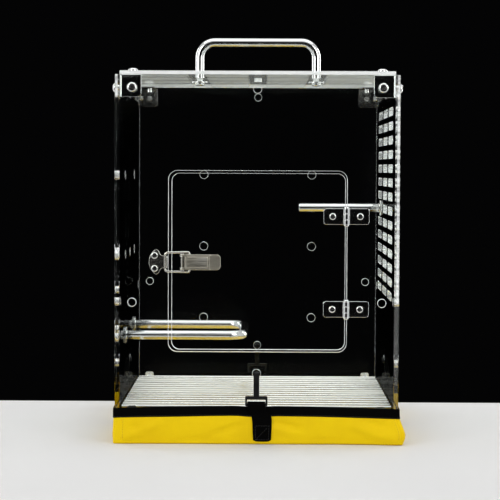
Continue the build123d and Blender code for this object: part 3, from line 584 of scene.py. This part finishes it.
SHEETS = {side: clear_acrylic(side) for side in THIN_AXES}
FINISHES = {
    row[0]: bright_metal(*row) for row in (
        ("polished_steel", (0.84, 0.84, 0.83, 1), (0.74, 0.74, 0.73, 1), 0.08, (30.0, 200.0, 200.0), 0.05),
        ("fastener_steel", (0.78, 0.78, 0.76, 1), (0.66, 0.66, 0.64, 1), 0.2, (300.0, 300.0, 300.0), 0.2),
        ("nickel_plate", (0.72, 0.70, 0.64, 1), (0.60, 0.57, 0.50, 1), 0.2, (60.0, 700.0, 900.0), 0.2),
        ("drawn_steel", (0.92, 0.91, 0.83, 1), (0.84, 0.83, 0.74, 1), 0.28, (6.0, 150.0, 150.0), 0.0, 0.0),
        # A dark copy of polished steel for the back brackets: painted shade.
        ("steel_in_painted_shade", (0.16, 0.16, 0.155, 1), (0.13, 0.13, 0.125, 1), 0.1, (30.0, 200.0, 200.0),
         0.02, 0.02),
        ("dull_nickel", (0.54, 0.51, 0.42, 1), (0.45, 0.42, 0.34, 1), 0.42, (40.0, 500.0, 900.0), 0.2),
    )
}
FINISHES["yellow_fabric"] = woven(
    "yellow_fabric", (0.88, 0.62, 0.0, 1), (0.76, 0.50, 0.0, 1),
    (1900.0, 1900.0), roughness=0.5, relief=0.0001, sheen=0.02, dusty=0.02, shine=0.12)
FINISHES["black_webbing"] = woven(
    "black_webbing", (0.0015, 0.0015, 0.0016, 1), (0.0008, 0.0008, 0.0008, 1),
    (700.0, 1500.0), roughness=0.8, relief=0.0002, sheen=0.0, dusty=0.0, shine=0.03)
FINISHES["black_plastic"] = moulded_plastic()
BLACK_THREAD = sewing_thread("black_thread", (0.004, 0.004, 0.0045, 1), (0.002, 0.002, 0.002, 1))
YELLOW_THREAD = sewing_thread("yellow_thread", (0.62, 0.42, 0.01, 1), (0.4, 0.26, 0.005, 1))


def dress_nodes():
    """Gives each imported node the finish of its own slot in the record."""
    for part in frame["record"]["subparts"]:
        piece = frame["nodes"][part["node"]]
        slot = part["material_slot"]
        side = part["node"].split("_")[0]
        piece.data.materials.clear()
        look = OWN_FINISH.get(part["node"], slot)
        piece.data.materials.append(SHEETS[side] if slot == "clear_acrylic" else FINISHES[look])
        if slot == "clear_acrylic":
            broken_edges(piece, CHAMFER, 1, 60)
        elif part["node"].startswith(PRESSED):
            broken_edges(piece, PLATE_ROUNDING, 2, 40)


def broken_edges(piece, width, segments, angle):
    """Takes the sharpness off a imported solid's edges that turn by more than an angle."""
    weld = piece.modifiers.new("weld", "WELD")
    weld.merge_threshold = 0.000005
    bevel = piece.modifiers.new("broken_edges", "BEVEL")
    bevel.limit_method = "ANGLE"
    bevel.angle_limit = math.radians(angle)
    bevel.width = width
    bevel.segments = segments
    bevel.use_clamp_overlap = False
    if segments == 1:
        split = piece.modifiers.new("crisp_edges", "EDGE_SPLIT")
        split.split_angle = math.radians(35)
    shading = piece.modifiers.new("shading", "WEIGHTED_NORMAL")
    shading.weight = 100


def mesh_piece(name, points, faces, material, flat=None):
    """A smooth mesh; flat holds the cloth coordinates of its points, in metres."""
    mesh = bpy.data.meshes.new(name)
    mesh.from_pydata([tuple(p) for p in points], [], faces)
    mesh.validate()
    mesh.polygons.foreach_set("use_smooth", [True] * len(mesh.polygons))
    if flat:
        layer = mesh.uv_layers.new(name="cloth")
        for loop in mesh.loops:
            layer.data[loop.index].uv = flat[loop.vertex_index]
    mesh.materials.append(material)
    piece = bpy.data.objects.new(name, mesh)
    bpy.context.scene.collection.objects.link(piece)
    return piece


def thickened(piece, thickness):
    """Gives a single sheet its thickness and one smoothing."""
    solid = piece.modifiers.new("thickness", "SOLIDIFY")
    solid.thickness = thickness
    solid.offset = 0.0
    smooth = piece.modifiers.new("smoothing", "SUBSURF")
    smooth.levels = 1
    smooth.render_levels = 1
    return piece


def fold(along, height, start, end, width, depth):
    """How far a soft fold between two points of a wall moves the cloth outward."""
    run = Vector((end[0] - start[0], end[1] - start[1]))
    middle = Vector(((start[0] + end[0]) / 2, (start[1] + end[1]) / 2))
    from_middle = Vector((along, height)) - middle
    direction = run.normalized()
    lengthways = from_middle.dot(direction) / (run.length / 2)
    across = (from_middle.x * direction.y - from_middle.y * direction.x) / width
    return depth * math.exp(-across * across) * math.exp(-lengthways ** 4)


def front_folds():
    """Soft folds of the front wall: start, end, width and depth in millimetres."""
    return [
        ((-44, 11), (-16, 23), 3.2, -0.9),
        ((-40, 17), (-14, 27), 2.6, 0.5),
        ((16, 25), (46, 17), 3.0, -0.9),
        ((14, 18), (40, 11), 3.0, 0.5),
        ((-142, 6), (-102, 22), 4.5, 0.9),
        ((-134, 19), (-118, 14), 3.0, -0.6),
        ((98, 22), (142, 4), 5.0, 0.9),
        ((112, 28), (140, 18), 3.5, -0.6),
        ((-90, 3), (-48, 6), 3.0, -0.5),
        ((52, 5), (92, 3), 3.0, -0.5),
    ]


def side_folds(seed):
    """The front's folds moved about, for a wall that the photograph doesn't show."""
    chance = random.Random(seed)
    moved = []
    for start, end, width, depth in front_folds():
        shift = chance.uniform(-14, 14)
        lift = chance.uniform(-3, 3)
        mirror = chance.choice((-1, 1))
        ends = [(max(-144, min(144, mirror * (x + shift))), max(2, min(30, z + lift)))
                for x, z in (start, end)]
        moved.append((ends[0], ends[1], width * chance.uniform(0.8, 1.3), depth * chance.uniform(0.5, 1.1)))
    return moved


FOLDS = {side: front_folds() if side == "front" else side_folds(seed) for seed, side in enumerate(SIDES)}


def edge_height(along):
    """Height of the tray's edge along one side."""
    bow = TRAY_BOW * (1 - (along / TRAY_MID) ** 2)
    dip = TRAY_DIP * math.exp(-((along / DIP_WIDTH) ** 4))
    return TRAY_EDGE + bow - dip


def flare_profile(height):
    """Share of a corner's flare at a height."""
    if height < FLARE_HEIGHT:
        return 0.5 + 0.5 * math.sin(math.pi / 2 * height / FLARE_HEIGHT)
    if height < FLARE_TOP:
        return math.cos(math.pi / 2 * (height - FLARE_HEIGHT) / (FLARE_TOP - FLARE_HEIGHT)) ** 2
    return 0.0


def corner_flare(side, along, height):
    """Outward shift of the cloth near the corners at a side's ends, in that side's own axes."""
    shift = Vector((0, 0))
    before = SIDES[SIDES.index(side) - 1]
    for corner, way in ((side, 1), (before, -1)):
        distance = abs(way * TRAY_MID - along)
        amount = FLARE[corner] * math.exp(-((distance / FLARE_REACH) ** 2)) * flare_profile(height)
        shift += Vector((way, -1)).normalized() * amount
    return shift


def seam_groove(along):
    """Depth of the sewn corner seams."""
    return -SEAM_GROOVE * sum(math.exp(-(((along - x) / (0.7 * MM)) ** 2)) for x in SEAM_X)


def side_stations():
    """Places along one side and round the corner after it; only those in the corner have an angle."""
    straight = TRAY_MID - TRAY_CORNER
    count = 66
    places = {round(-straight + 2 * straight * i / count, 6) for i in range(count + 1)}
    for seam in SEAM_X:
        places.update(seam + step * MM for step in (-1.6, -0.8, 0.0, 0.8, 1.6))
    ordered = sorted(places)
    kept = [ordered[0]]
    for place in ordered[1:]:
        if place - kept[-1] > 0.5 * MM:
            kept.append(place)
    stations = [(place, 0.0) for place in kept]
    stations += [(TRAY_MID, math.radians(angle)) for angle in (15, 30, 45, 60, 75)]
    return stations


def turn_to(side):
    """Turns a point of the front wall to a side."""
    return Matrix.Rotation(math.pi / 2 * SIDES.index(side), 3, "Z")


def station_point(side, station, height, out=0.0):
    """A point of the tray's wall and the wall's outward direction there."""
    along, angle = station
    straight = TRAY_MID - TRAY_CORNER
    if angle:
        outward = Vector((math.sin(angle), -math.cos(angle)))
        base = Vector((straight, -straight)) + outward * TRAY_CORNER
    else:
        outward = Vector((0, -1))
        base = Vector((along, -TRAY_MID))
    rise = max(0.0, min(1.0, height / edge_height(along)))
    swell = BELLY * math.sin(math.pi * rise) * (1 - min(1.0, abs(along) / TRAY_MID) ** 4)
    if not angle:
        swell += seam_groove(along) * min(1.0, (1 - rise) * 4)
        for start, end, width, depth in FOLDS[side]:
            swell += fold(along / MM, height / MM, start, end, width, depth * FOLD_DEPTH) * MM
    point = base + outward * (swell + out) + corner_flare(side, along, height)
    turn = turn_to(side)
    return turn @ Vector((point.x, point.y, height)), turn @ Vector((outward.x, outward.y, 0))


def ring_stations():
    """Every side's stations, in order round the tray."""
    return [(side, station) for side in SIDES for station in side_stations()]


def perimeter(ring, height):
    """Running length round the tray at each station."""
    total, lengths, last = 0.0, [], None
    for side, station in ring:
        here, _ = station_point(side, station, height)
        total += (here - last).length if last else 0.0
        lengths.append(total)
        last = here
    return lengths


def grid_faces(rows, columns):
    """Faces between rows of points on a closed ring."""
    faces = []
    for row in range(rows - 1):
        for column in range(columns):
            after = (column + 1) % columns
            faces.append((row * columns + column, row * columns + after,
                          (row + 1) * columns + after, (row + 1) * columns + column))
    return faces


def add_base(points, flat, faces, foot, count):
    """Closes the tray's bottom with a grid between the last ring's four quarters."""
    quarter = count // 4
    turned = [foot + (index - 3) % count for index in range(count)]
    front = turned[:quarter + 1]
    right = turned[quarter:2 * quarter + 1]
    back = turned[2 * quarter:3 * quarter + 1][::-1]
    left = (turned[3 * quarter:] + turned[:1])[::-1]
    corners = [points[index] for index in (front[0], front[-1], back[0], back[-1])]
    table = []
    for row in range(quarter + 1):
        up = row / quarter
        line = []
        for column in range(quarter + 1):
            along = column / quarter
            if row == 0:
                line.append(front[column])
            elif row == quarter:
                line.append(back[column])
            elif column in (0, quarter):
                line.append((left if column == 0 else right)[row])
            else:
                between = points[front[column]] * (1 - up) + points[back[column]] * up
                between += points[left[row]] * (1 - along) + points[right[row]] * along
                between -= (corners[0] * (1 - along) + corners[1] * along) * (1 - up)
                between -= (corners[2] * (1 - along) + corners[3] * along) * up
                line.append(len(points))
                points.append(between)
                flat.append((between.x, between.y))
        table.append(line)
    for low, high in zip(table, table[1:]):
        for column in range(quarter):
            faces.append((high[column], high[column + 1], low[column + 1], low[column]))


def foot_radius(side, station):
    """The round of the tray's foot, sharper towards the left."""
    point, _ = station_point(side, station, CLOTH)
    share = min(1.0, max(0.0, (point.x / MM + 150) / 200))
    return FLAT_FOOT_RADIUS + (FOOT_RADIUS - FLAT_FOOT_RADIUS) * share


def tray_cloth():
    """The tray's coated cloth: four walls, a rounded foot and the base under the cage."""
    ring = ring_stations()
    lengths = perimeter(ring, 20 * MM)
    wall_rows, foot_rows = 13, 4
    points, flat = [], []
    lowest = CLOTH / 2
    for row in range(wall_rows):
        for (side, station), length in zip(ring, lengths):
            top = edge_height(station[0]) - 0.4 * MM
            height = top + (lowest + foot_radius(side, station) - top) * row / (wall_rows - 1)
            point, _ = station_point(side, station, height)
            points.append(point)
            flat.append((length, height))
    for row in range(1, foot_rows + 1):
        angle = math.pi / 2 * row / foot_rows
        for (side, station), length in zip(ring, lengths):
            radius = foot_radius(side, station)
            point, outward = station_point(side, station, lowest + radius)
            inward = radius * (1 - math.cos(angle))
            height = lowest + radius * (1 - math.sin(angle))
            points.append(Vector((point.x, point.y, height)) - outward * inward)
            flat.append((length, height - inward))
    foot = len(points) - len(ring)
    faces = grid_faces(len(points) // len(ring), len(ring))
    add_base(points, flat, faces, foot, len(ring))
    cloth = mesh_piece("tray_cloth", points, faces, FINISHES["yellow_fabric"], flat)
    return thickened(cloth, CLOTH)


def tape_fold(ring):
    """The black binding, folded over the tray's edge."""
    off = TAPE_OFF
    section = [(off, -10.0), (off, -6.5), (off, -3.2), (off, -0.9), (off * 0.86, 0.05),
               (off * 0.45, 0.5), (0, 0.62), (-off * 0.45, 0.5), (-off * 0.86, 0.05),
               (-off, -0.9), (-off, -4.5), (-off, -9.0)]
    lengths = perimeter(ring, 35 * MM)
    points, flat = [], []
    chance = random.Random(7)
    waves = [(chance.uniform(0.03, 0.08), chance.uniform(0, 6.3)) for _ in range(4)]
    for out, drop in section:
        for (side, station), length in zip(ring, lengths):
            top = edge_height(station[0])
            ripple = sum(math.sin(length / MM * rate + phase) for rate, phase in waves) * 0.07 * MM
            share = min(1.0, max(0.0, -drop / 10.0))
            height = top + drop * MM + ripple * share
            point, outward = station_point(side, station, min(height, top))
            points.append(Vector((point.x, point.y, height)) + outward * out)
            flat.append((drop * MM, length))
    faces = [tuple(reversed(face)) for face in grid_faces(len(section), len(ring))]
    binding = mesh_piece("tray_edge_tape", points, faces, FINISHES["black_webbing"], flat)
    return thickened(binding, TAPE)


def stitches(name, line, material, step=STITCH_STEP, length=STITCH, thread=THREAD):
    """Rows of short stitches along a line of (point, outward) pairs."""
    points, faces = [], []
    sides = 6
    travelled, wanted = 0.0, step / 2
    for (start, outward), (end, _) in zip(line, line[1:]):
        run = (end - start).length
        while run > 0 and travelled + run >= wanted:
            middle = start.lerp(end, (wanted - travelled) / run)
            direction = (end - start).normalized()
            across = direction.cross(outward).normalized()
            first = len(points)
            for share, girth, sink in ((-0.5, 0.35, -0.55), (-0.3, 1.0, 0.1), (0.0, 1.05, 0.3),
                                       (0.3, 1.0, 0.1), (0.5, 0.35, -0.55)):
                hub = middle + direction * share * length + outward * sink * thread / 2
                for corner in range(sides):
                    angle = 2 * math.pi * corner / sides
                    spoke = across * math.cos(angle) + outward * math.sin(angle)
                    points.append(hub + spoke * girth * thread / 2)
            for ring in range(4):
                for corner in range(sides):
                    after = (corner + 1) % sides
                    low, high = first + ring * sides, first + (ring + 1) * sides
                    faces.append((low + corner, low + after, high + after, high + corner))
            faces.append(tuple(first + corner for corner in reversed(range(sides))))
            faces.append(tuple(first + 4 * sides + corner for corner in range(sides)))
            wanted += step
        travelled += run
    return mesh_piece(name, points, faces, material)


def wall_line(side, alongs, heights, out):
    """(point, outward) pairs on one wall of the tray."""
    return [station_point(side, (along, 0.0), height, out) for along, height in zip(alongs, heights)]


def tape_stitches(ring):
    """The row of stitches along the binding's lower edge."""
    line = []
    for side, station in ring + ring[:1]:
        height = edge_height(station[0]) - 8.7 * MM
        line.append(station_point(side, station, height, TAPE_OFF + TAPE / 2))
    return stitches("tray_tape_stitches", line, BLACK_THREAD)


def seam_stitches():
    """A row of stitches beside each sewn corner seam."""
    made = []
    heights = [6 * MM + 0.75 * MM * i for i in range(32)]
    for side in SIDES:
        for place, beside in zip(SEAM_X, (1, -1)):
            alongs = [place + beside * 1.9 * MM] * len(heights)
            line = wall_line(side, alongs, heights, CLOTH / 2)
            end = "left" if beside > 0 else "right"
            name = f"seam_stitches_{side}_{end}"
            made.append(stitches(name, line, YELLOW_THREAD, 2.6 * MM, 1.9 * MM, 0.32 * MM))
    return made


def strap_half_width(height):
    """Half a strap's width: narrow at its foot, widest at the tray's edge, tucked in at the bar."""
    if height < STRAP_WIDE_Z * MM:
        up = max(0.0, height / MM - 3) / 28
        return (STRAP_FOOT_HALF + (STRAP_WIDE_HALF - STRAP_FOOT_HALF) * up) * MM
    return (STRAP_WIDE_HALF - 1.2 * min(1.0, (height / MM - STRAP_WIDE_Z) / 8)) * MM


def strap_lean(side, height):
    """How far a strap is sewn beside the hook above it."""
    low = max(0.0, min(1.0, (39 * MM - height) / (10 * MM)))
    return STRAP_LEAN[side] * low * low * (3 - 2 * low)


def strap_path():
    """(outward distance, height) along a strap's middle, from its foot over the hook's bar."""
    face = TRAY_MID + TAPE_OFF + TAPE / 2 + STRAP_THICK / 2
    path = [(face - 0.35 * MM, STRAP_FOOT_Z), (face + 0.1 * MM, 8 * MM), (face + 0.3 * MM, 14 * MM),
            (face + 0.35 * MM, 20 * MM), (face + 0.3 * MM, 26 * MM), (face + 0.2 * MM, 31 * MM),
            (face + 0.9 * MM, 35 * MM), (face + 2.3 * MM, 38.8 * MM)]
    for degrees in range(190, -41, -23):
        angle = math.radians(degrees)
        path.append((BAR_OUT - STRAP_EYE * math.cos(angle), BAR_Z + STRAP_EYE * math.sin(angle)))
    return path


def strap(side):
    """Webbing sewn to the tray and looped over the hook's bar."""
    path = strap_path()
    across = [-1.0, -0.97, -0.8, -0.4, 0.0, 0.4, 0.8, 0.97, 1.0]
    points, flat, length = [], [], 0.0
    turn = turn_to(side)
    for index, (out, height) in enumerate(path):
        if index:
            length += (Vector(path[index]) - Vector(path[index - 1])).length
        half = strap_half_width(height)
        lean = strap_lean(side, height)
        for share in across:
            corner = 2.2 * MM * abs(share) ** 8 if index == 0 else 0.0
            points.append(turn @ Vector((share * half + lean, -out, height + corner)))
            flat.append((share * half, length))
    columns = len(across)
    faces = []
    for row in range(len(path) - 1):
        for column in range(columns - 1):
            first = row * columns + column
            faces.append((first, first + 1, first + columns + 1, first + columns))
    webbing = mesh_piece("strap_webbing_" + side, points, faces, FINISHES["black_webbing"], flat)
    return thickened(webbing, STRAP_THICK)


def strap_stitches(side):
    """The sewn box that holds a strap's foot."""
    turn = turn_to(side)
    face = TRAY_MID + TAPE_OFF + TAPE / 2 + STRAP_THICK + 0.35 * MM
    corners = [(-6.9, 5.2), (6.9, 5.2), (7.3, 20.0), (-7.3, 20.0), (-6.9, 5.2), (7.3, 20.0)]
    line = []
    for (x, z), (next_x, next_z) in zip(corners, corners[1:]):
        for share in range(6):
            here = Vector((x, z)).lerp(Vector((next_x, next_z)), share / 6)
            beside = here.x * MM + strap_lean(side, here.y * MM)
            line.append((turn @ Vector((beside, -face, here.y * MM)), turn @ Vector((0, -1, 0))))
    return stitches("strap_stitches_" + side, line, BLACK_THREAD, 2.7 * MM, 2.0 * MM, 0.38 * MM)


def soft_tray():
    """The fabric tray with its binding, seams and straps, in place of the plain solids."""
    ring = ring_stations()
    cloth = tray_cloth()
    tape = tape_fold(ring)
    sewn = [tape, tape_stitches(ring)] + seam_stitches()
    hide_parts("tray_fabric")
    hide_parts("tray_binding")
    for side in SIDES:
        webbing = strap(side)
        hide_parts("strap_" + side)
        sewn += [webbing, strap_stitches(side)]
    for piece in [cloth] + sewn:
        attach(piece, "cage")


def table_top():
    """Pale table top with rounded edges."""
    middle = (0, (TABLE_BACK - TABLE_HALF) / 2, -TABLE_DEPTH / 2)
    bpy.ops.mesh.primitive_cube_add(size=1.0, location=middle)
    table = bpy.context.object
    table.name = "table_top"
    table.scale = (2 * TABLE_HALF, TABLE_HALF + TABLE_BACK, TABLE_DEPTH)
    bpy.ops.object.transform_apply(location=True, rotation=False, scale=True)
    rounding = table.modifiers.new("rounding", "BEVEL")
    rounding.width = TABLE_ROUNDING
    rounding.segments = 4
    material, tree, shader = finish_of("pale_table", {"Roughness": 0.7})
    place = own_place(tree)
    cloud = noise(tree, place, 4.0, 2.0)
    tone = mix_colour(tree, cloud, (0.66, 0.655, 0.645, 1), (0.69, 0.685, 0.675, 1))
    feed(tree, shader, "Base Color", tone)
    table.data.materials.append(material)


def area_lamp(name, place, aim, size, power):
    """A soft box at a place, turned towards a point."""
    data = bpy.data.lights.new(name, "AREA")
    data.shape = "RECTANGLE"
    data.size, data.size_y = size
    data.energy = power
    lamp = bpy.data.objects.new(name, data)
    bpy.context.scene.collection.objects.link(lamp)
    lamp.location = place
    lamp.rotation_mode = "QUATERNION"
    lamp.rotation_quaternion = (Vector(aim) - Vector(place)).to_track_quat("-Z", "Y")


def studio():
    """Soft boxes round the cage, and a room that looks dark but fills the shadows."""
    middle = (0.0, 0.0, 0.2)
    area_lamp("box_over", (0.0, -0.1, 1.5), (0, 0, 0), (1.7, 1.5), 8.0)
    area_lamp("box_front_left", (-1.35, -1.5, 0.95), middle, (0.9, 1.2), 13.0)
    area_lamp("box_front_right", (1.35, -1.5, 0.95), middle, (0.9, 1.2), 11.0)
    area_lamp("strip_back_right", (1.15, 0.75, 0.5), middle, (0.3, 1.2), 6.0)
    area_lamp("strip_back_left", (-1.15, 0.75, 0.5), middle, (0.3, 1.2), 4.0)
    world = bpy.data.worlds.new("dark_room")
    bpy.context.scene.world = world
    world.use_nodes = True
    tree = world.node_tree
    background = next(n for n in tree.nodes if n.type == "BACKGROUND")
    rays = node(tree, "ShaderNodeLightPath").outputs
    mirrored = maths(tree, "MAXIMUM", rays["Is Glossy Ray"], rays["Is Transmission Ray"])
    split = axes_of(tree, node(tree, "ShaderNodeTexCoord").outputs["Generated"])
    sideways = remap(tree, maths(tree, "ABSOLUTE", split["X"]), 0.45, 0.75, 0.0, 1.0)
    upwards = remap(tree, split["Z"], 0.25, 0.6, 0.0, 1.0)
    tent = maths(tree, "MAXIMUM", sideways, upwards)
    room = (0.0012, 0.0012, 0.0013, 1)
    white = (0.62, 0.63, 0.65, 1)
    fill = (0.55, 0.55, 0.56, 1)
    reflected = mix_colour(tree, tent, room, white)
    lit = mix_colour(tree, mirrored, fill, reflected)
    tree.links.new(mix_colour(tree, rays["Is Camera Ray"], lit, room), background.inputs["Color"])


def photo_camera():
    """The camera at the photograph's place, with its lens and its slight roll."""
    data = bpy.data.cameras.new("photo_camera")
    data.sensor_width = SENSOR
    data.lens = FOCAL_PIXELS * SENSOR / IMAGE_SIDE
    camera = bpy.data.objects.new("photo_camera", data)
    bpy.context.scene.collection.objects.link(camera)
    forward = Vector((-math.sin(LOOK_LEFT) * math.cos(LOOK_DOWN),
                      math.cos(LOOK_LEFT) * math.cos(LOOK_DOWN), -math.sin(LOOK_DOWN)))
    level = Vector((math.cos(LOOK_LEFT), math.sin(LOOK_LEFT), 0))
    upright = level.cross(forward)
    right = level * math.cos(ROLL) + upright * math.sin(ROLL)
    up = right.cross(forward)
    axes = Matrix((right, up, -forward)).transposed()
    camera.matrix_world = Matrix.Translation(EYE) @ axes.to_4x4()
    bpy.context.scene.camera = camera


def render_settings():
    """Enough bounces for light to run along the sheets."""
    scene = bpy.context.scene
    scene.view_settings.view_transform = "Standard"
    cycles = scene.cycles
    cycles.max_bounces = 32
    cycles.glossy_bounces = 14
    cycles.transmission_bounces = 24
    cycles.transparent_max_bounces = 24
    cycles.diffuse_bounces = 3


dress_nodes()
soft_tray()
table_top()
studio()
photo_camera()
render_settings()
